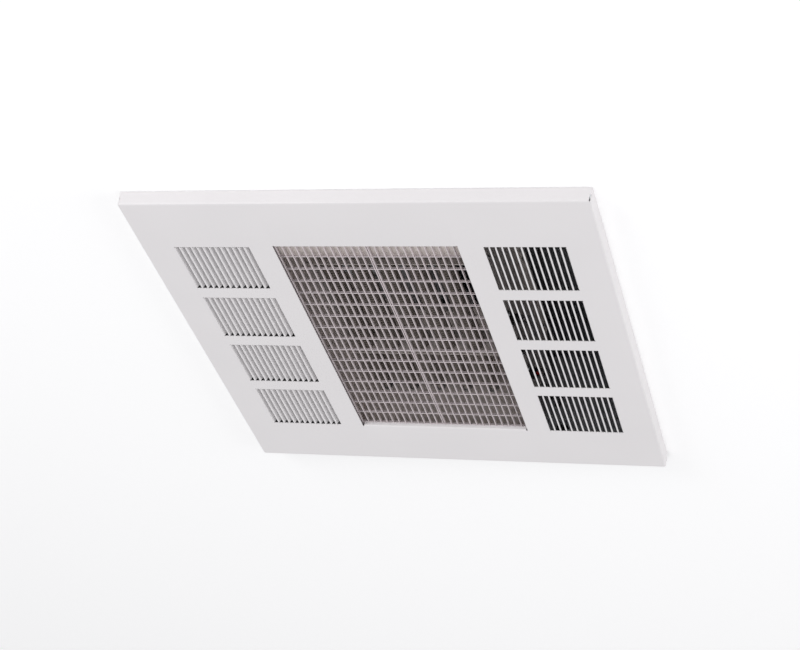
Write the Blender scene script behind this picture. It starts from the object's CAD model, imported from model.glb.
import math

import bmesh
import bpy
from mathutils import Matrix, Vector
from mathutils.geometry import delaunay_2d_cdt


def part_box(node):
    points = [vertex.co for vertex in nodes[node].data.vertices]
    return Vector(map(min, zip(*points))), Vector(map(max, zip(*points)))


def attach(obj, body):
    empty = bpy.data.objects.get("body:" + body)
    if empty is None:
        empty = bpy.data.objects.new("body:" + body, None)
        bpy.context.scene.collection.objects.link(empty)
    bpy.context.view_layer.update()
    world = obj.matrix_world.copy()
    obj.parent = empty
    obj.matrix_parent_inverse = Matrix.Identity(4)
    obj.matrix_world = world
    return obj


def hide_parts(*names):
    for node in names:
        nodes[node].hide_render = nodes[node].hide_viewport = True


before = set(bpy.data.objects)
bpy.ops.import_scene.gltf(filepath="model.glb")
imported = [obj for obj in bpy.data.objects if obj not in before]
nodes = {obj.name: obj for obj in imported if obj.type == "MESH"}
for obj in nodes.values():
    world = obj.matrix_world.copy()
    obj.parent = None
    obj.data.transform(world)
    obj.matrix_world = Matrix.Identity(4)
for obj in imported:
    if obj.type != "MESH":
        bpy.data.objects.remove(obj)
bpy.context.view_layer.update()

# ------------------------------------------------------------------------------------------------
# The camera stood on the floor, to the right of the middle and well in front, and looked up at the
# panel. Its place, aim and lens come from fitting the panel's corners and louvres in the photograph.
camera_place = Vector((0.8099, -2.0703, -1.4005))
camera_heading = math.radians(21.72)
camera_tilt = math.radians(32.30)
camera_roll = math.radians(12.76)
camera_lens = 88.16

ahead = Vector((
    -math.sin(camera_heading) * math.cos(camera_tilt),
    math.cos(camera_heading) * math.cos(camera_tilt),
    math.sin(camera_tilt),
))
level_right = Vector((math.cos(camera_heading), math.sin(camera_heading), 0))
level_up = level_right.cross(ahead)
right = level_right * math.cos(camera_roll) + level_up * math.sin(camera_roll)
up = level_up * math.cos(camera_roll) - level_right * math.sin(camera_roll)
camera = bpy.data.objects.new("camera", bpy.data.cameras.new("camera"))
bpy.context.scene.collection.objects.link(camera)
camera.data.lens = camera_lens
camera.data.sensor_width = 36
camera.data.clip_end = 60
camera.matrix_world = Matrix.Translation(camera_place) @ Matrix((right, up, -ahead)).transposed().to_4x4()
bpy.context.scene.camera = camera
bpy.context.scene.view_settings.view_transform = "Standard"


# ------------------------------------------------------------------------------------------------
# The ceiling is smooth white board, cut out for the back box. It is open to the camera from above,
# so that the box and the panel both show from there too. Soft lamps light the room below it and the
# loft above it.
def linear(*colour):
    """A colour picked as 0 to 255 on a screen, as the light values that a shader takes."""
    return [(c / 255 / 12.92) if c < 11 else ((c / 255 + 0.055) / 1.055) ** 2.4 for c in colour]


def start_finish(name, colour, roughness, metallic=0.0):
    """A new material with its shader's plain values set: returns the material and its shader."""
    material = bpy.data.materials.new(name)
    material.use_nodes = True
    shader = material.node_tree.nodes["Principled BSDF"]
    shader.inputs["Base Color"].default_value = (*linear(*colour), 1)
    shader.inputs["Roughness"].default_value = roughness
    shader.inputs["Metallic"].default_value = metallic
    return material, shader


def add_node(material, kind, settings=None, **inputs):
    """A shader node of that kind. An input named n0, n1 and so on is found by its number."""
    tree = material.node_tree
    node = tree.nodes.new("ShaderNode" + kind)
    for name, value in (settings or {}).items():
        setattr(node, name, value)
    for name, value in inputs.items():
        numbered = name[0] == "n" and name[1:].isdigit()
        socket = node.inputs[int(name[1:]) if numbered else name.replace("_", " ")]
        if isinstance(value, bpy.types.NodeSocket):
            tree.links.new(value, socket)
        else:
            socket.default_value = value
    return node


def seen_rays(material):
    """The light path, and 1 where the surface is seen: straight, in a reflection or through glass."""
    rays = add_node(material, "LightPath")
    seen = add_node(material, "Math", n0=rays.outputs["Is Camera Ray"], n1=rays.outputs["Is Glossy Ray"])
    seen = add_node(material, "Math", {"use_clamp": True}, n0=seen.outputs[0],
                    n1=rays.outputs["Is Transmission Ray"])
    return rays, seen.outputs[0]


ceiling_hole = 0.3045
ceiling_reach = 5.0
ceiling_glow = 0.17
room_white, room_dim = (1, 1, 1, 1), (0.62, 0.62, 0.63, 1)
ceiling = bpy.data.meshes.new("ceiling")
corners = [(-1, -1), (1, -1), (1, 1), (-1, 1)]
ceiling.from_pydata(
    [(x * s, y * s, 0) for s in (ceiling_hole, ceiling_reach) for x, y in corners], [],
    [(i, (i + 1) % 4, 4 + (i + 1) % 4, 4 + i) for i in range(4)],
)
ceiling_board = bpy.data.objects.new("ceiling_board", ceiling)
bpy.context.scene.collection.objects.link(ceiling_board)

ceiling_white, shader = start_finish("ceiling_white", (250, 250, 250), 0.9)
rays, seen = seen_rays(ceiling_white)
side = add_node(ceiling_white, "NewGeometry").outputs["Backfacing"]
glow = add_node(ceiling_white, "Emission", Strength=ceiling_glow)
lit_board = add_node(ceiling_white, "AddShader", n0=shader.outputs[0], n1=glow.outputs[0])
seen_board = add_node(ceiling_white, "MixShader", n0=seen, n1=shader.outputs[0], n2=lit_board.outputs[0])
from_above = add_node(ceiling_white, "Math", {"operation": "MULTIPLY"}, n0=rays.outputs["Is Camera Ray"],
                      n1=side)
open_above = add_node(ceiling_white, "BsdfTransparent")
board = add_node(ceiling_white, "MixShader", n0=from_above.outputs[0], n1=seen_board.outputs[0],
                 n2=open_above.outputs[0])
output = ceiling_white.node_tree.nodes["Material Output"]
ceiling_white.node_tree.links.new(board.outputs[0], output.inputs["Surface"])
ceiling.materials.append(ceiling_white)

world = bpy.data.worlds.new("room")
bpy.context.scene.world = world
world.use_nodes = True
_, seen = seen_rays(world)
room = add_node(world, "Mix", {"data_type": "RGBA"}, n0=seen, n6=room_dim, n7=room_white)
world.node_tree.links.new(room.outputs[2], world.node_tree.nodes["Background"].inputs["Color"])


def hang_lamp(name, place, aim, size, power):
    """A square soft lamp at place that shines on aim."""
    light = bpy.data.lights.new(name, "AREA")
    light.size = size
    light.energy = power
    lamp = bpy.data.objects.new(name, light)
    bpy.context.scene.collection.objects.link(lamp)
    lamp.location = place
    lamp.rotation_mode = "QUATERNION"
    lamp.rotation_quaternion = (Vector(aim) - Vector(place)).to_track_quat("-Z", "Y")


panel_middle, box_middle = (0, 0, 0), (0, 0, 0.1)
hang_lamp("floor_bounce", (0.2, -0.4, -2.6), panel_middle, 2.4, 11)
hang_lamp("window_near", (-1.6, -2.7, -0.75), panel_middle, 1.3, 27)
hang_lamp("room_right", (2.6, -0.6, -0.7), panel_middle, 1.4, 16)
hang_lamp("loft_left", (-2.0, -2.2, 2.4), box_middle, 1.8, 60)
hang_lamp("loft_right", (2.6, 1.4, 1.6), box_middle, 1.8, 35)


# ------------------------------------------------------------------------------------------------
# Back box: hot-dip galvanized sheet. One sheet is folded to a U over the top, and the two ends have
# flanges that lap over it and are spot welded. Long beads stiffen every wall.
def galvanized_sheet(name, colour, spangle=0.006, contrast=0.06, metallic=0.6):
    """The zinc sets in flat crystals, so each spangle reflects a little differently."""
    material, shader = start_finish(name, colour, 0.4, metallic)
    place = add_node(material, "TexCoord").outputs["Object"]
    warp = add_node(material, "TexNoise", Vector=place, Scale=0.6 / spangle, Detail=2.0)
    bent = add_node(material, "VectorMath", {"operation": "MULTIPLY_ADD"}, n0=warp.outputs["Color"],
                    n1=(spangle * 0.9,) * 3, n2=place)
    cells = add_node(material, "TexVoronoi", Vector=bent.outputs[0], Scale=1 / spangle)
    tint = add_node(material, "SeparateColor", Color=cells.outputs["Color"])
    stain = add_node(material, "TexNoise", Vector=place, Scale=9.0, Detail=5.0)
    dark = (*linear(*[c * (1 - contrast) for c in colour]), 1)
    light = (*linear(*[min(255, c * (1 + contrast)) for c in colour]), 1)
    mottle = add_node(material, "Mix", {"data_type": "RGBA"}, n0=tint.outputs[0], n6=dark, n7=light)
    dulled = add_node(material, "MapRange", Value=stain.outputs["Fac"], n3=0.82, n4=1.06)
    patina = add_node(material, "VectorMath", {"operation": "MULTIPLY"}, n0=mottle.outputs[2],
                      n1=dulled.outputs[0])
    rough = add_node(material, "MapRange", Value=tint.outputs[1], n3=0.33, n4=0.47)
    bump = add_node(material, "Bump", Strength=0.10, Distance=0.0003, Height=tint.outputs[2])
    links = material.node_tree.links
    links.new(patina.outputs[0], shader.inputs["Base Color"])
    links.new(rough.outputs[0], shader.inputs["Roughness"])
    links.new(bump.outputs[0], shader.inputs["Normal"])
    return material


def wall_frame(origin, across, upward):
    """Where a flat wall lies: its first two axes lie in it, and its third points out of it."""
    across, upward = Vector(across), Vector(upward)
    return Matrix.Translation(origin) @ Matrix((across, upward, across.cross(upward))).transposed().to_4x4()


def ring(x, y, radius, run=0.0, upright=False, count=24):
    """Points of a circle about x, y, or of a slot with round ends when run is its straight length."""
    points = []
    for i in range(count):
        turn = math.tau * (i + 0.5) / count
        along, beside = radius * math.cos(turn), radius * math.sin(turn)
        along += math.copysign(run / 2, along)
        points.append((x - beside, y + along) if upright else (x + along, y + beside))
    return points


def pressing(x, y, steps, run=0.0, upright=False, count=24):
    """Rings of a form pressed out of a wall, each of a radius and a height, from its rim inwards."""
    return [(ring(x, y, radius, run, upright, count), height) for radius, height in steps]


def lies_in(point, loop):
    """Whether a point lies inside a closed loop of points."""
    x, y = point
    inside = False
    for (x0, y0), (x1, y1) in zip(loop, loop[1:] + loop[:1]):
        if (y0 > y) != (y1 > y) and x < x0 + (y - y0) / (y1 - y0) * (x1 - x0):
            inside = not inside
    return inside


def cut_sheet(mesh, place, outline, presses=(), holes=()):
    """A flat wall in its outline, with holes in it and forms pressed out of it."""
    cuts = [rings[0][0] for rings in presses] + list(holes)
    points, edges, starts = [], [], []
    for loop in (outline, *cuts):
        first = len(points)
        starts.append(first)
        edges += [(first + i, first + (i + 1) % len(loop)) for i in range(len(loop))]
        points += [Vector(point) for point in loop]
    inside_only, nearest = 1, 1e-7
    flat, _, faces, sources, _, _ = delaunay_2d_cdt(points, edges, [], inside_only, nearest)
    verts = [mesh.verts.new(place @ point.to_3d()) for point in flat]
    for face in faces:
        middle = sum((flat[i] for i in face), Vector((0, 0))) / 3
        if not any(lies_in(middle, cut) for cut in cuts):
            mesh.faces.new([verts[i] for i in face])
    drawn = {source: verts[i] for i, given in enumerate(sources) for source in given}
    for rings, first in zip(presses, starts[1:]):
        outer = [drawn[first + i] for i in range(len(rings[0][0]))]
        for loop, height in rings[1:]:
            inner = [mesh.verts.new(place @ Vector((x, y, height))) for x, y in loop]
            for i in range(len(inner)):
                j = (i + 1) % len(inner)
                mesh.faces.new((outer[i], outer[j], inner[j], inner[i]))
            outer = inner
        mesh.faces.new(outer)


def quarter(centre, start, end, steps=5):
    """Points of a quarter round about centre, from the arm start to the arm end."""
    turns = [math.pi / 2 * i / steps for i in range(steps + 1)]
    return [Vector(centre) + Vector(start) * math.cos(t) + Vector(end) * math.sin(t) for t in turns]


def span(mesh, first, second):
    """Faces between two rows of points."""
    rows = [[mesh.verts.new(point) for point in row] for row in (first, second)]
    for i in range(len(first) - 1):
        mesh.faces.new((rows[0][i], rows[1][i], rows[1][i + 1], rows[0][i + 1]))


def moved(points, x=0.0, y=0.0, z=0.0):
    """The same row of points at another place."""
    return [point + Vector((x, y, z)) for point in points]


def make_piece(name, mesh, finish, sheet=0.0, ease=0.0, crease=32.0):
    """The built mesh as an object. Sheet grows inwards from it, and ease rounds its sharp edges."""
    join_distance = 2e-6
    ease_steps, ease_from = 2, math.radians(40)
    bmesh.ops.remove_doubles(mesh, verts=mesh.verts, dist=join_distance)
    data = bpy.data.meshes.new(name)
    mesh.to_mesh(data)
    mesh.free()
    piece = bpy.data.objects.new(name, data)
    bpy.context.scene.collection.objects.link(piece)
    if sheet:
        grown = piece.modifiers.new("sheet", "SOLIDIFY")
        grown.thickness = sheet
        grown.offset = -1
        grown.use_even_offset = True
    if ease:
        eased = piece.modifiers.new("ease", "BEVEL")
        eased.width = ease
        eased.segments = ease_steps
        eased.limit_method = "ANGLE"
        eased.angle_limit = ease_from
    if sheet or ease:
        graph = bpy.context.evaluated_depsgraph_get()
        piece.data = bpy.data.meshes.new_from_object(piece.evaluated_get(graph))
        piece.modifiers.clear()
        bpy.data.meshes.remove(data)
        piece.data.name = name
    piece.data.materials.append(finish)
    piece.data.polygons.foreach_set("use_smooth", [True] * len(piece.data.polygons))
    piece.data.set_sharp_from_angle(angle=math.radians(crease))
    return piece


def stands_for(piece, body, name):
    """Puts a piece on its body and its slot, in the place of the node of that name."""
    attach(piece, body)
    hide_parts(name)


box_zinc = galvanized_sheet("box_zinc", (172, 175, 178))
box_half = 0.280
box_sheet = 0.0012
box_bottom = -0.0012
box_top = 0.215
box_inner = box_half - box_sheet
box_fold = 0.0026
bead_steps = [(0.0078, 0), (0.0064, 0), (0.0057, 0.0004), (0.0050, 0.0014), (0.0040, 0.0023),
              (0.0026, 0.0028), (0.0010, 0.0030)]
side_bead = 0.3584
top_bead, top_bead_x = 0.392, 0.0896
bead_heights = (0.0774, 0.1462)
knockout_steps = [(0.0130, 0), (0.0121, 0), (0.0117, -0.0004), (0.0111, -0.0004), (0.0107, 0), (0.0100, 0)]
knockout_x, knockout_y, knockout_z = 0.2266, 0.2524, 0.0641
knockout_radius = 0.0111
frame_screw_y, frame_screw_z, frame_screw_radius = 0.2016, 0.012, 0.0018
hanger_y, hanger_z = 0.220, 0.178
rivet_radius, rivet_gap, rivet_drop = 0.00175, 0.008, 0.010
side_beads = [pressing(0, z, bead_steps, side_bead) for z in bead_heights]
frame_holes = [ring(s * frame_screw_y, frame_screw_z, frame_screw_radius) for s in (-1, 1)]
hanger_holes = [ring(s * hanger_y + d, hanger_z - rivet_drop, rivet_radius)
                for s in (-1, 1) for d in (-rivet_gap, rivet_gap)]

mesh = bmesh.new()
wall_outline = [(-box_inner, box_bottom), (box_inner, box_bottom), (box_inner, box_top - box_fold),
                (-box_inner, box_top - box_fold)]
cut_sheet(mesh, wall_frame((box_half, 0, 0), (0, 1, 0), (0, 0, 1)), wall_outline,
          [*side_beads, pressing(knockout_y, knockout_z, knockout_steps)], frame_holes + hanger_holes)
cut_sheet(mesh, wall_frame((-box_half, 0, 0), (0, -1, 0), (0, 0, 1)), wall_outline, side_beads,
          frame_holes + hanger_holes)
top_x = box_half - box_fold
cut_sheet(mesh, wall_frame((0, 0, box_top), (1, 0, 0), (0, 1, 0)),
          [(-top_x, -box_inner), (top_x, -box_inner), (top_x, box_inner), (-top_x, box_inner)],
          [pressing(s * top_bead_x, 0, bead_steps, top_bead, upright=True) for s in (-1, 1)])
fold_right = quarter((top_x, -box_inner, box_top - box_fold), (box_fold, 0, 0), (0, 0, box_fold))
fold_left = quarter((-top_x, box_inner, box_top - box_fold), (-box_fold, 0, 0), (0, 0, box_fold))
span(mesh, fold_right, moved(fold_right, y=2 * box_inner))
span(mesh, fold_left, moved(fold_left, y=-2 * box_inner))
wrapper = make_piece("wrapper_sheet", mesh, box_zinc, sheet=box_sheet)
stands_for(wrapper, "housing", "box_wrapper")

lap = 0.016
flange_x = box_half + box_sheet
flange_top = box_top + box_sheet
flange_low, flange_high = 0.028, 0.213
flange_y, lap_y = -box_half + box_fold, -box_half + lap
weld_y = (flange_y + lap_y) / 2
weld_steps = [(0.0042, 0), (0.0034, 0), (0.0027, -0.0005), (0.0010, -0.0006)]
weld_heights = [flange_low + 0.015 + 0.031 * i for i in range(6)]
weld_places = [-0.240 + 0.060 * i for i in range(9)]
end_x = flange_x - box_fold
top_half = box_half - lap
bracket_x, bracket_z = 0.0765, 0.108

for name, turn in (("end_far", math.pi), ("end_near", 0.0)):
    mesh = bmesh.new()
    half_outline = [(box_half, box_bottom), (box_half, flange_low), (end_x, flange_low), (end_x, flange_high),
                    (box_half, flange_high), (box_half, box_top), (top_half, box_top),
                    (top_half, flange_top - box_fold)]
    outline = half_outline + [(-x, z) for x, z in reversed(half_outline)]
    holes = frame_holes + [ring(s * bracket_x, bracket_z, rivet_radius) for s in (-1, 1)]
    presses = list(side_beads)
    if name == "end_far":
        holes.append(ring(-knockout_x, knockout_z, knockout_radius, count=40))
        presses.append(pressing(knockout_x, knockout_z, knockout_steps))
    cut_sheet(mesh, wall_frame((0, -box_half, 0), (1, 0, 0), (0, 0, 1)), outline, presses, holes)
    welds = [pressing(weld_y, z, weld_steps, count=12) for z in weld_heights]
    for s in (-1, 1):
        bend = quarter((s * end_x, flange_y, flange_low), (0, -box_fold, 0), (s * box_fold, 0, 0))
        tall = moved(bend, z=flange_high - flange_low)
        span(mesh, *((tall, bend) if s > 0 else (bend, tall)))
        place = wall_frame((s * flange_x, 0, 0), (0, s, 0), (0, 0, 1))
        ends = sorted((s * flange_y, s * lap_y))
        side_welds = [[([(s * x, y) for x, y in (loop if s > 0 else reversed(loop))], height)
                       for loop, height in rings] for rings in welds]
        cut_sheet(mesh, place, [(ends[0], flange_low), (ends[1], flange_low), (ends[1], flange_high),
                                (ends[0], flange_high)], side_welds)
    bend = quarter((-top_half, flange_y, flange_top - box_fold), (0, -box_fold, 0), (0, 0, box_fold))
    span(mesh, bend, moved(bend, x=2 * top_half))
    top_welds = [pressing(x, weld_y, weld_steps, count=12) for x in weld_places]
    cut_sheet(mesh, wall_frame((0, 0, flange_top), (1, 0, 0), (0, 1, 0)),
              [(-top_half, flange_y), (top_half, flange_y), (top_half, lap_y), (-top_half, lap_y)], top_welds)
    bmesh.ops.rotate(mesh, verts=mesh.verts, matrix=Matrix.Rotation(turn, 3, "Z"))
    end = make_piece(name, mesh, box_zinc, sheet=box_sheet)
    stands_for(end, "housing", "box_ends")


# ------------------------------------------------------------------------------------------------
# Ceiling frame: a galvanized L-section with welded corners. Its flange lies against the ceiling and
# takes the ceiling screws, and its leg is screwed round the back box.
frame_fold = 0.0030
frame_edge = 0.298
frame_low = -0.0012
frame_high = 0.024
frame_sheet = 0.0012
screw_x, screw_y, screw_radius = 0.2905, 0.190, 0.00275
leg_low = frame_low + frame_fold
flange_start = box_half + frame_fold

mesh = bmesh.new()
for k in range(4):
    turn = Matrix.Rotation(k * math.pi / 2, 4, "Z")
    cut_sheet(mesh, turn @ wall_frame((box_half, 0, 0), (0, -1, 0), (0, 0, 1)),
              [(-box_half, leg_low), (box_half, leg_low), (box_half, frame_high), (-box_half, frame_high)],
              holes=frame_holes)
    bend = quarter((flange_start, 0, leg_low), (-frame_fold, 0, 0), (0, 0, -frame_fold))
    rows = [[turn @ Vector((p.x, s * p.x, p.z)) for p in bend] for s in (1, -1)]
    span(mesh, rows[1], rows[0])
    mouth = [(-flange_start, flange_start), (flange_start, flange_start), (frame_edge, frame_edge),
             (-frame_edge, frame_edge)]
    holes = [ring(s * screw_y, screw_x, screw_radius) for s in (-1, 1)] if k % 2 == 0 else []
    cut_sheet(mesh, turn @ wall_frame((0, 0, frame_low), (0, 1, 0), (1, 0, 0)), mouth, holes=holes)
frame_ring = make_piece("ceiling_ring", mesh, box_zinc, sheet=frame_sheet)
stands_for(frame_ring, "housing", "ceiling_frame")


# ------------------------------------------------------------------------------------------------
# Hanger brackets: four galvanized angles riveted to the box. A rod or wire from the slab above goes
# through the hole in each ear.
def rounded_box(x0, y0, x1, y1, low, high, steps=5):
    """A box outline whose two lower corners have the radius low, and whose upper ones have high."""
    outline = []
    corners = ((x1, y0, low, -90), (x1, y1, high, 0), (x0, y1, high, 90), (x0, y0, low, 180))
    for x, y, radius, first in corners:
        middle_x = x - radius if x == x1 else x + radius
        middle_y = y - radius if y == y1 else y + radius
        for i in range(steps + 1 if radius else 1):
            turn = math.radians(first + 90 * i / steps)
            outline.append((middle_x + radius * math.cos(turn), middle_y + radius * math.sin(turn)))
    return outline


bracket_sheet = 0.002
bracket_fold = 0.0045
ear_half, ear_reach, ear_round = 0.014, 0.028, 0.007
rod_x, rod_radius = 0.015, 0.0045
plate_drop, plate_round = 0.020, 0.004
plate_top = bracket_sheet - bracket_fold
for sx in (-1, 1):
    for sy in (-1, 1):
        mesh = bmesh.new()
        cut_sheet(mesh, wall_frame((0, 0, 0), (0, -1, 0), (0, 0, 1)),
                  rounded_box(-ear_half, -plate_drop, ear_half, plate_top, plate_round, 0),
                  holes=[ring(d, -rivet_drop, rivet_radius, count=16) for d in (-rivet_gap, rivet_gap)])
        bend = quarter((bracket_fold, -ear_half, plate_top), (-bracket_fold, 0, 0), (0, 0, bracket_fold))
        span(mesh, moved(bend, y=2 * ear_half), bend)
        ear = rounded_box(-ear_half, bracket_fold, ear_half, ear_reach, 0, ear_round)
        place = wall_frame((0, 0, bracket_sheet), (0, 1, 0), (-1, 0, 0))
        cut_sheet(mesh, place, [(y, -x) for y, x in reversed(ear)],
                  holes=[ring(0, -rod_x, rod_radius, count=32)])
        turn = 0 if sx > 0 else math.pi
        bmesh.ops.rotate(mesh, verts=mesh.verts, matrix=Matrix.Rotation(turn, 3, "Z"))
        bmesh.ops.translate(mesh, verts=mesh.verts, vec=(sx * box_half, sy * hanger_y, hanger_z))
        side_name = ("left" if sx < 0 else "right") + ("_near" if sy < 0 else "_far")
        bracket = make_piece("hanger_" + side_name, mesh, box_zinc, sheet=bracket_sheet)
        stands_for(bracket, "housing", "hanger_brackets")


# ------------------------------------------------------------------------------------------------
# Heater duct, fan deck and their brackets: thinner galvanized sheet, dulled by the heat. The duct
# stands over the grille's mouth, hangs from the box by four brackets and carries the fan deck.
def coat(material, *names):
    """Puts a finish on carried-over nodes."""
    for name in names:
        for slot in nodes[name].material_slots:
            slot.material = material


duct_zinc = galvanized_sheet("duct_zinc", (212, 204, 199), 0.005, 0.04, metallic=0.2)
coat(duct_zinc, "heater_duct", "fan_deck", "duct_brackets", "element_supports")


# ------------------------------------------------------------------------------------------------
# Heating elements: three steel hairpin tubes, with a steel strip wound round each straight leg. The
# legs pass through two support plates, and their ends are clamped in the duct's far wall.
def brushed_metal(name, colour, roughness=0.34, grain=900.0, metallic=0.95):
    """Metal with a fine grain, a little duller and rougher in blotches."""
    material, shader = start_finish(name, colour, roughness, metallic)
    place = add_node(material, "TexCoord").outputs["Object"]
    fine = add_node(material, "TexNoise", Vector=place, Scale=grain, Detail=3.0)
    blotch = add_node(material, "TexNoise", Vector=place, Scale=120.0, Detail=4.0)
    rough = add_node(material, "MapRange", Value=blotch.outputs["Fac"], n3=roughness - 0.09,
                     n4=roughness + 0.12)
    plain, shade = (*linear(*colour), 1), (*linear(*[c * 0.8 for c in colour]), 1)
    tone = add_node(material, "Mix", {"data_type": "RGBA"}, n0=blotch.outputs["Fac"], n6=plain, n7=shade)
    bump = add_node(material, "Bump", Strength=0.1, Distance=0.0002, Height=fine.outputs["Fac"])
    links = material.node_tree.links
    links.new(tone.outputs[2], shader.inputs["Base Color"])
    links.new(rough.outputs[0], shader.inputs["Roughness"])
    links.new(bump.outputs[0], shader.inputs["Normal"])
    return material


def tube(mesh, path, radius, sides=12):
    """A round tube along a path of points, closed at its ends."""
    across, rows = None, []
    for i, point in enumerate(path):
        ahead = (path[min(i + 1, len(path) - 1)] - path[max(i - 1, 0)]).normalized()
        across = across or ahead.orthogonal()
        across = (across - ahead * across.dot(ahead)).normalized()
        beside = ahead.cross(across)
        turns = [math.tau * k / sides for k in range(sides)]
        rows.append([mesh.verts.new(point + (across * math.cos(t) + beside * math.sin(t)) * radius)
                     for t in turns])
    for row, following in zip(rows, rows[1:]):
        for k in range(sides):
            j = (k + 1) % sides
            mesh.faces.new((row[k], row[j], following[j], following[k]))
    mesh.faces.new(rows[0][::-1])
    mesh.faces.new(rows[-1])


def wound_fin(mesh, x, z, start, end, inner, outer, pitch, thickness, steps=20):
    """A strip wound on edge round a leg that runs along y."""
    before = None
    for i in range(int((end - start) / pitch * steps) + 1):
        turn = math.tau * i / steps
        y = start + pitch * i / steps
        section = [mesh.verts.new((x + r * math.cos(turn), y + back, z + r * math.sin(turn)))
                   for r, back in ((inner, 0), (outer, 0), (outer, thickness), (inner, thickness))]
        if before:
            for a, b in ((0, 1), (1, 2), (2, 3)):
                mesh.faces.new((before[a], before[b], section[b], section[a]))
        else:
            mesh.faces.new(section)
        before = section
    mesh.faces.new(before[::-1])


tinted_steel = brushed_metal("tinted_steel", (176, 167, 160), 0.5, 700, metallic=0.35)
element_z = 0.052
element_end, element_bend = 0.2269, -0.1879
leg_pitch = 0.040
tube_radius = 0.004
fin_inner, fin_radius = tube_radius * 0.9, 0.013
fin_pitch, fin_sheet = 0.005, 0.0005
fin_start, fin_stop = -0.1759, 0.1990
bend_steps = 16
mesh = bmesh.new()
for x in (-2 * leg_pitch, 0, 2 * leg_pitch):
    turns = [math.pi * i / bend_steps for i in range(bend_steps + 1)]
    legs = (x - leg_pitch / 2, x + leg_pitch / 2)
    bend = [Vector((x - leg_pitch / 2 * math.cos(t), element_bend - leg_pitch / 2 * math.sin(t), element_z))
            for t in turns]
    ends = [Vector((leg, element_end, element_z)) for leg in legs]
    tube(mesh, [ends[0], *bend, ends[1]], tube_radius, 16)
    for leg in legs:
        wound_fin(mesh, leg, element_z, fin_start, fin_stop, fin_inner, fin_radius, fin_pitch, fin_sheet)
elements = make_piece("finned_hairpins", mesh, tinted_steel)
stands_for(elements, "housing", "heating_elements")


# ------------------------------------------------------------------------------------------------
# Small turned and pressed hardware: zinc plated screws, nuts, studs, clips, hinges and the strap,
# with blued springs and aluminium rivets.
zinc_plate = brushed_metal("zinc_plate", (190, 192, 194))
coat(zinc_plate, "grille_clips", "grille_clip_nuts", "panel_hinge_ears", "hinge_brackets", "hinge_pins",
     "catch_studs", "frame_screws", "duct_screws", "fan_deck_screws", "motor_strap", "motor_studs",
     "fan_shaft", "fan_hub", "element_terminals", "element_bushings", "element_jumpers",
     "thermostat_screws", "wiring_cover_screws")
spring_blue = brushed_metal("spring_blue", (92, 96, 108), 0.3)
coat(spring_blue, "catch_springs", "hub_set_screw")
rivet_aluminium = brushed_metal("rivet_aluminium", (205, 206, 208), 0.38)
coat(rivet_aluminium, "hanger_rivets", "fan_rivets", "support_rivets")


# ------------------------------------------------------------------------------------------------
# Fan and motor: aluminium blades on a turned hub, and a black motor whose shells hold a varnished
# core, enamelled coils and two bronze bearings.
def moulded(name, colour, roughness=0.5, grain=1400.0, depth=0.0002):
    """Plastic, rubber or enamel with a fine grain and a trace of dust."""
    material, shader = start_finish(name, colour, roughness)
    place = add_node(material, "TexCoord").outputs["Object"]
    fine = add_node(material, "TexNoise", Vector=place, Scale=grain, Detail=4.0)
    dust = add_node(material, "TexNoise", Vector=place, Scale=60.0, Detail=6.0)
    plain, pale = (*linear(*colour), 1), (*linear(*[min(255, c * 1.12 + 8) for c in colour]), 1)
    tone = add_node(material, "Mix", {"data_type": "RGBA"}, n0=dust.outputs["Fac"], n6=plain, n7=pale)
    rough = add_node(material, "MapRange", Value=dust.outputs["Fac"], n3=roughness - 0.1,
                     n4=roughness + 0.12)
    bump = add_node(material, "Bump", Strength=0.18, Distance=depth, Height=fine.outputs["Fac"])
    links = material.node_tree.links
    links.new(tone.outputs[2], shader.inputs["Base Color"])
    links.new(rough.outputs[0], shader.inputs["Roughness"])
    links.new(bump.outputs[0], shader.inputs["Normal"])
    return material


blade_aluminium = brushed_metal("blade_aluminium", (172, 173, 175), 0.4, 500, metallic=0.7)
coat(blade_aluminium, "fan_blades")
motor_black = moulded("motor_black", (34, 35, 37), 0.4, 2000)
coat(motor_black, "motor_lower_shell", "motor_upper_shell")
sintered_bronze = brushed_metal("sintered_bronze", (150, 120, 72), 0.5, 2500)
coat(sintered_bronze, "motor_bearings")
core_steel = brushed_metal("core_steel", (92, 92, 96), 0.5)
coat(core_steel, "motor_stator", "motor_rotor")
enamelled_copper = brushed_metal("enamelled_copper", (168, 92, 44), 0.35)
coat(enamelled_copper, "motor_windings")
black_rubber = moulded("black_rubber", (22, 22, 23), 0.7)
coat(black_rubber, "motor_grommets", "wire_grommets")


# ------------------------------------------------------------------------------------------------
# Controls: disc thermostats on the duct's side, and the wiring box beside it with its cover, switch,
# relay, terminal block and ground screw.
black_phenolic = moulded("black_phenolic", (26, 25, 26), 0.45)
coat(black_phenolic, "high_limit", "fan_delay_switch", "reset_limit", "terminal_block", "control_relay",
     "disconnect_switch")
button_red = moulded("button_red", (186, 28, 24), 0.35)
coat(button_red, "reset_button")
fired_ceramic = moulded("fired_ceramic", (236, 232, 220), 0.3)
coat(fired_ceramic, "element_insulators")
cover_zinc = galvanized_sheet("cover_zinc", (170, 172, 174), 0.005)
coat(cover_zinc, "wiring_box", "wiring_cover")
turned_brass = brushed_metal("turned_brass", (196, 165, 92), 0.3)
coat(turned_brass, "terminal_screws")
lever_chrome = brushed_metal("lever_chrome", (222, 223, 226), 0.14)
coat(lever_chrome, "switch_lever")
ground_green = brushed_metal("ground_green", (52, 122, 70), 0.4, metallic=0.6)
coat(ground_green, "ground_screw")


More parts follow.
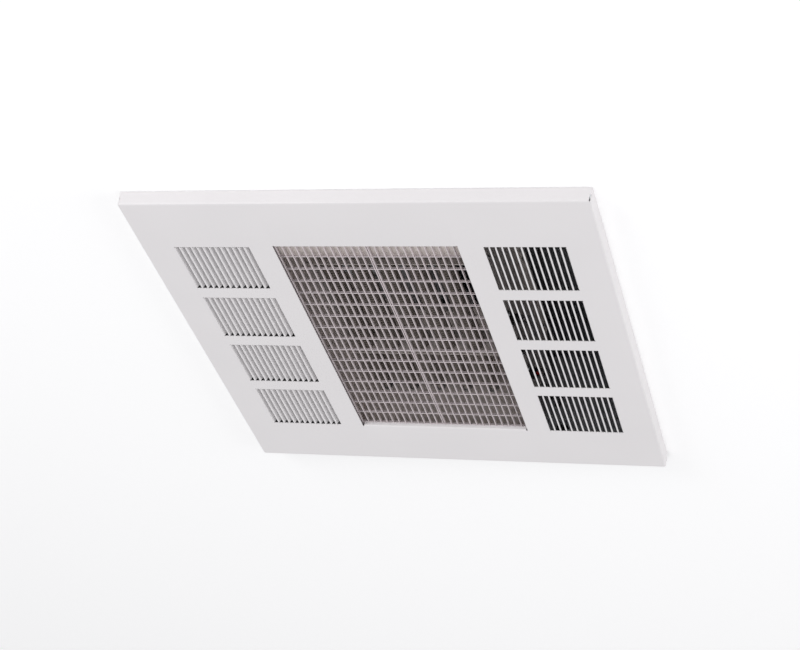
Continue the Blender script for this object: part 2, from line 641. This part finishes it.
# ------------------------------------------------------------------------------------------------
# Wires: black motor leads twisted together, white glass-sleeved element leads, and the grey control
# loom with a branch to each thermostat. They bend softly and end in crimped sleeves.
def softened(corners, cut, steps=7):
    """A path through the corners, each rounded off at the distance cut from it."""
    points = [Vector(corner) for corner in corners]
    path = [points[0]]
    for before, corner, after in zip(points, points[1:], points[2:]):
        reach_in = min(cut, (corner - before).length * 0.49)
        reach_out = min(cut, (after - corner).length * 0.49)
        start = corner + (before - corner).normalized() * reach_in
        end = corner + (after - corner).normalized() * reach_out
        for i in range(steps + 1):
            t = i / steps
            path.append(start.lerp(corner, t).lerp(corner.lerp(end, t), t))
    return path + [points[-1]]


def even_steps(path, step):
    """The same path with points about a step apart."""
    points = [path[0]]
    for a, b in zip(path, path[1:]):
        count = max(1, round((b - a).length / step))
        points += [a.lerp(b, (i + 1) / count) for i in range(count)]
    return points


def twisted(path, strands, reach, lay):
    """Paths of strands that wind round each other, one turn in the length lay."""
    across, gone = None, 0.0
    wound = [[] for _ in range(strands)]
    for i, point in enumerate(path):
        ahead = (path[min(i + 1, len(path) - 1)] - path[max(i - 1, 0)]).normalized()
        across = across or ahead.orthogonal()
        across = (across - ahead * across.dot(ahead)).normalized()
        gone += (point - path[i - 1]).length if i else 0
        for k in range(strands):
            turn = math.tau * (k / strands + gone / lay)
            wound[k].append(point + (across * math.cos(turn) + ahead.cross(across) * math.sin(turn)) * reach)
    return wound


wire_black = moulded("wire_black", (24, 24, 25), 0.45)
wire_white = moulded("wire_white", (206, 202, 192), 0.75, 900)
wire_grey = moulded("wire_grey", (88, 88, 90), 0.45)

motor_route = softened([
    (0.044, 0, 0.164), (0.1505, 0, 0.164), (0.1505, 0.040, 0.148), (0.1505, 0.190, 0.062),
    (0.145, 0.208, 0.042), (0.145, 0.234, 0.042),
], 0.014)
strand_radius, strand_reach, strand_lay = 0.0010, 0.0012, 0.045
route_step = 0.004
wire_crease = 60
mesh = bmesh.new()
for strand in twisted(even_steps(motor_route, route_step), 3, strand_reach, strand_lay):
    tube(mesh, strand, strand_radius, 8)
motor_leads = make_piece("twisted_motor_leads", mesh, wire_black, crease=wire_crease)
stands_for(motor_leads, "housing", "motor_leads")

lead_radius, lead_bend = 0.0019, 0.010
crimp_radius, crimp_length = lead_radius * 1.35, 0.008
mesh = bmesh.new()
for route in (
    [(0.100, 0.2392, 0.052), (0.100, 0.255, 0.052), (0.125, 0.255, 0.052)],
    [(-0.100, 0.2392, 0.052), (-0.100, 0.255, 0.052), (-0.080, 0.255, 0.068), (0.125, 0.255, 0.068)],
):
    path = softened(route, lead_bend)
    tube(mesh, path, lead_radius)
    tube(mesh, [path[0], path[0] + Vector((0, crimp_length, 0))], crimp_radius)
element_leads = make_piece("sleeved_element_leads", mesh, wire_white, crease=wire_crease)
stands_for(element_leads, "housing", "element_leads")

loom_x, loom_end, loom_radius = 0.157, 0.234, 0.0018
loom_tail = 0.012
branch_run, branch_bend, branch_radius = 0.030, 0.009, 0.0015
tab_x = 0.1465
terminal_low, terminal_high, terminal_radius = tab_x - 0.004, tab_x + 0.005, 0.0024
thermostat_y = (0.154, 0.088, 0.022)
mesh = bmesh.new()
for z in (0.030, 0.040):
    for y in thermostat_y:
        branch = softened([(tab_x, y, z), (loom_x, y, z), (loom_x, y + branch_run, z)], branch_bend)
        tube(mesh, branch, branch_radius, 10)
        tube(mesh, [Vector((x, y, z)) for x in (terminal_low, terminal_high)], terminal_radius)
    tube(mesh, [Vector((loom_x, y, z)) for y in (thermostat_y[-1] + loom_tail, loom_end)], loom_radius)
control_leads = make_piece("control_loom", mesh, wire_grey, crease=wire_crease)
stands_for(control_leads, "housing", "control_leads")


# ------------------------------------------------------------------------------------------------
# Front panel: one sheet of steel with folded rims, open at the corners, and a mouth for the grille.
# Each louvre is lanced: cut on three sides and bent up along the fourth. It is powder coated white.
# The slots are 0.7 mm wider here than in the solid, at the same pitch, which leaves the narrow bars.
def powder_coat(name, colour, roughness=0.42):
    """A baked coat with a fine orange peel and slightly uneven thickness."""
    material, shader = start_finish(name, colour, roughness)
    place = add_node(material, "TexCoord").outputs["Object"]
    peel = add_node(material, "TexNoise", Vector=place, Scale=420.0, Detail=2.0)
    wave = add_node(material, "TexNoise", Vector=place, Scale=7.0, Detail=2.0)
    pale = (*linear(*[min(255, c * 1.012) for c in colour]), 1)
    deep = (*linear(*[c * 0.988 for c in colour]), 1)
    tone = add_node(material, "Mix", {"data_type": "RGBA"}, n0=wave.outputs["Fac"], n6=pale, n7=deep)
    bump = add_node(material, "Bump", Strength=0.08, Distance=0.0002, Height=peel.outputs["Fac"])
    links = material.node_tree.links
    links.new(tone.outputs[2], shader.inputs["Base Color"])
    links.new(bump.outputs[0], shader.inputs["Normal"])
    return material


panel_white = powder_coat("panel_white", (232, 229, 230))
(_, _, face_z), (panel_half, _, rim_top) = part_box("front_panel")
panel_sheet = 0.001
panel_fold = 0.0022
flat_half = panel_half - panel_fold
relief_z = face_z + 0.010
hinge_rim_top = rim_top - 0.005
hinge_step_y = 0.297
mouth_x, mouth_y = 0.1225, 0.21495
slot_w, slot_bar, slots = 0.0070, 0.00114, 13
slot_length, block_pitch, blocks = 0.0915, 0.1128, 4
first_slot = 0.15497
flap_relief = 0.0015
notch = panel_fold
lip_top = face_z + 0.006
flap_angle = math.radians(65)
flap_bend = 0.00115
flap_length = 0.0056

slot_starts = [first_slot + i * (slot_w + slot_bar) for i in range(slots)]
slot_ends = [(-mouth_y + k * block_pitch, -mouth_y + k * block_pitch + slot_length) for k in range(blocks)]
slot_lines = [x for start in slot_starts for x in (start, start + slot_w)]
lines_x = sorted({s * x for s in (-1, 1) for x in (mouth_x, mouth_x - notch, *slot_lines, flat_half)})
end_lines = [y for low, high in slot_ends for y in (low, low + flap_relief, high - flap_relief, high)]
lines_y = sorted({*end_lines, mouth_y + notch, -mouth_y - notch, hinge_step_y, flat_half, -flat_half})


def is_open(x, y):
    """Whether the flat sheet is cut away at that point."""
    in_mouth = abs(x) < mouth_x and abs(y) < mouth_y + notch
    in_slot = any(start < abs(x) < start + slot_w for start in slot_starts)
    return in_mouth or (in_slot and any(low < y < high for low, high in slot_ends))


mesh = bmesh.new()
grid = {(x, y): mesh.verts.new((x, y, face_z)) for x in lines_x for y in lines_y}
for x0, x1 in zip(lines_x, lines_x[1:]):
    for y0, y1 in zip(lines_y, lines_y[1:]):
        if not is_open((x0 + x1) / 2, (y0 + y1) / 2):
            mesh.faces.new((grid[x0, y0], grid[x0, y1], grid[x1, y1], grid[x1, y0]))
bmesh.ops.delete(mesh, geom=[v for v in mesh.verts if not v.link_faces], context="VERTS")


def rim_rows(stations, turn, levels):
    """Sections of a rim along one side: the fold from the face, then the wall up to each level."""
    bend = quarter((flat_half, 0, face_z + panel_fold), (0, 0, -panel_fold), (panel_fold, 0, 0))
    section = bend + [Vector((panel_half, 0, z)) for z in levels]
    return [[turn @ (p + Vector((0, y, 0))) for p in section] for y in stations]


# Sides 0 to 3 are right, hinge, left and near. The hinge side is low, and its neighbours step down to
# it. Towards is which way along a neighbour the hinge side lies.
side_past = panel_sheet * 0.9
for k, towards in enumerate((1, 0, -1, 0)):
    turn = Matrix.Rotation(k * math.pi / 2, 3, "Z")
    across = lines_y if k % 2 == 0 else lines_x
    stations = sorted({round(y * (1 if k in (0, 3) else -1), 9) for y in across})
    past = side_past if k % 2 == 0 else panel_fold
    for a, b in zip(stations, stations[1:]):
        low = k == 1 or (towards and min(a * towards, b * towards) >= hinge_step_y - 1e-6)
        levels = [relief_z, hinge_rim_top] + ([] if low else [rim_top])
        span(mesh, *rim_rows((a, b), turn, levels))
    for end, edge in ((-1, stations[0]), (1, stations[-1])):
        low = k == 1 or towards * end > 0
        levels = [relief_z, hinge_rim_top] + ([] if low else [rim_top])
        rows = rim_rows(sorted((edge, edge + end * past)), turn, levels)
        span(mesh, *[row[-len(levels):] for row in rows])

bend_steps = 4
bends = [flap_angle * i / bend_steps for i in range(bend_steps + 1)]
flap = [(flap_bend * math.sin(t), flap_bend * (1 - math.cos(t))) for t in bends]
root_x, root_z = flap[-1]
flap.append((root_x + flap_length * math.cos(flap_angle), root_z + flap_length * math.sin(flap_angle)))
for s in (-1, 1):
    for start in slot_starts:
        for low, high in slot_ends:
            row = [Vector((s * (start + slot_w - u), low + flap_relief, face_z + w)) for u, w in flap]
            ends = (row, moved(row, y=high - low - 2 * flap_relief))
            span(mesh, *(ends if s < 0 else ends[::-1]))

lip_half = mouth_x - notch
for s in (-1, 1):
    bend = quarter((-s * lip_half, s * (mouth_y + notch), face_z + notch), (0, 0, -notch), (0, -s * notch, 0))
    lip = bend + [Vector((-s * lip_half, s * mouth_y, lip_top))]
    span(mesh, lip, moved(lip, x=2 * s * lip_half))
panel = make_piece("louvred_panel", mesh, panel_white, sheet=panel_sheet)
stands_for(panel, "panel", "front_panel")

stud_radius, stud_top, stud_sides = 0.002, -0.012, 20
weld_radius, weld_height = stud_radius * 1.5, 0.0006
side_stud_x, side_stud_y = 0.1450, 2 * mouth_y * 0.28
end_stud_y = mouth_y + 0.0205
stud_places = [(s * side_stud_x, p * side_stud_y) for s in (-1, 1) for p in (-1, 1)]
stud_places += [(0, s * end_stud_y) for s in (-1, 1)]
mesh = bmesh.new()
for x, y in stud_places:
    foot = Vector((x, y, face_z + panel_sheet))
    tube(mesh, [foot, foot + Vector((0, 0, weld_height))], weld_radius, stud_sides)
    tube(mesh, [foot, Vector((x, y, stud_top))], stud_radius, stud_sides)
studs = make_piece("welded_studs", mesh, zinc_plate)
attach(studs, "panel")


# ------------------------------------------------------------------------------------------------
# Discharge grille: thin steel blades notched into each other, in a frame with a flat flange. It is
# powder coated a pinkish grey. Clips on the panel's studs hold it, and foam seals it to the duct. On
# its long sides the flange starts a little way outside the blades, and the cross blades reach to it.
def slab(mesh, across, along, height):
    """A straight bar, given by its two ends in each direction."""
    size = [b - a for a, b in (across, along, height)]
    middle = [(a + b) / 2 for a, b in (across, along, height)]
    bmesh.ops.create_cube(mesh, size=1, matrix=Matrix.Translation(middle) @ Matrix.Diagonal((*size, 1)))


grille_grey = powder_coat("grille_grey", (216, 206, 208), 0.5)
(_, _, blade_low), (_, _, blade_high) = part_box("discharge_grille")
blade, blade_ease = 0.001, 0.00018
core_x, core_y = 0.1235, 0.21395
mid_bar = 0.0036
columns, rows = 26, 16
cell_w = (2 * core_x - mid_bar - columns * blade) / columns
row_pitch = (2 * core_y - blade) / rows
cross_inset = 0.0003
cross_height = (blade_low + cross_inset, blade_high - cross_inset)
flange_x, flange_y = 0.1370, 0.22745
flange_height = (-0.015, -0.014)
side_gap = 0.1252
mesh = bmesh.new()
middles = [mid_bar / 2 - blade / 2 + i * (cell_w + blade) for i in range(columns // 2 + 1)]
for x in sorted({s * m for s in (-1, 1) for m in middles}):
    slab(mesh, (x - blade / 2, x + blade / 2), (-core_y, core_y), (blade_low, blade_high))
for j in range(rows + 1):
    y = -core_y + blade / 2 + j * row_pitch
    slab(mesh, (-core_x, core_x), (y - blade / 2, y + blade / 2), cross_height)
    slab(mesh, (-side_gap, side_gap), (y - blade / 2, y + blade / 2), flange_height)
for s in (-1, 1):
    slab(mesh, sorted((s * side_gap, s * flange_x)), (-flange_y, flange_y), flange_height)
    slab(mesh, (-side_gap, side_gap), sorted((s * core_y, s * flange_y)), flange_height)
grille = make_piece("egg_crate_grille", mesh, grille_grey, ease=blade_ease)
stands_for(grille, "panel", "discharge_grille")
grey_foam = moulded("grey_foam", (46, 46, 48), 0.95, 700, 0.001)
coat(grey_foam, "discharge_seal")
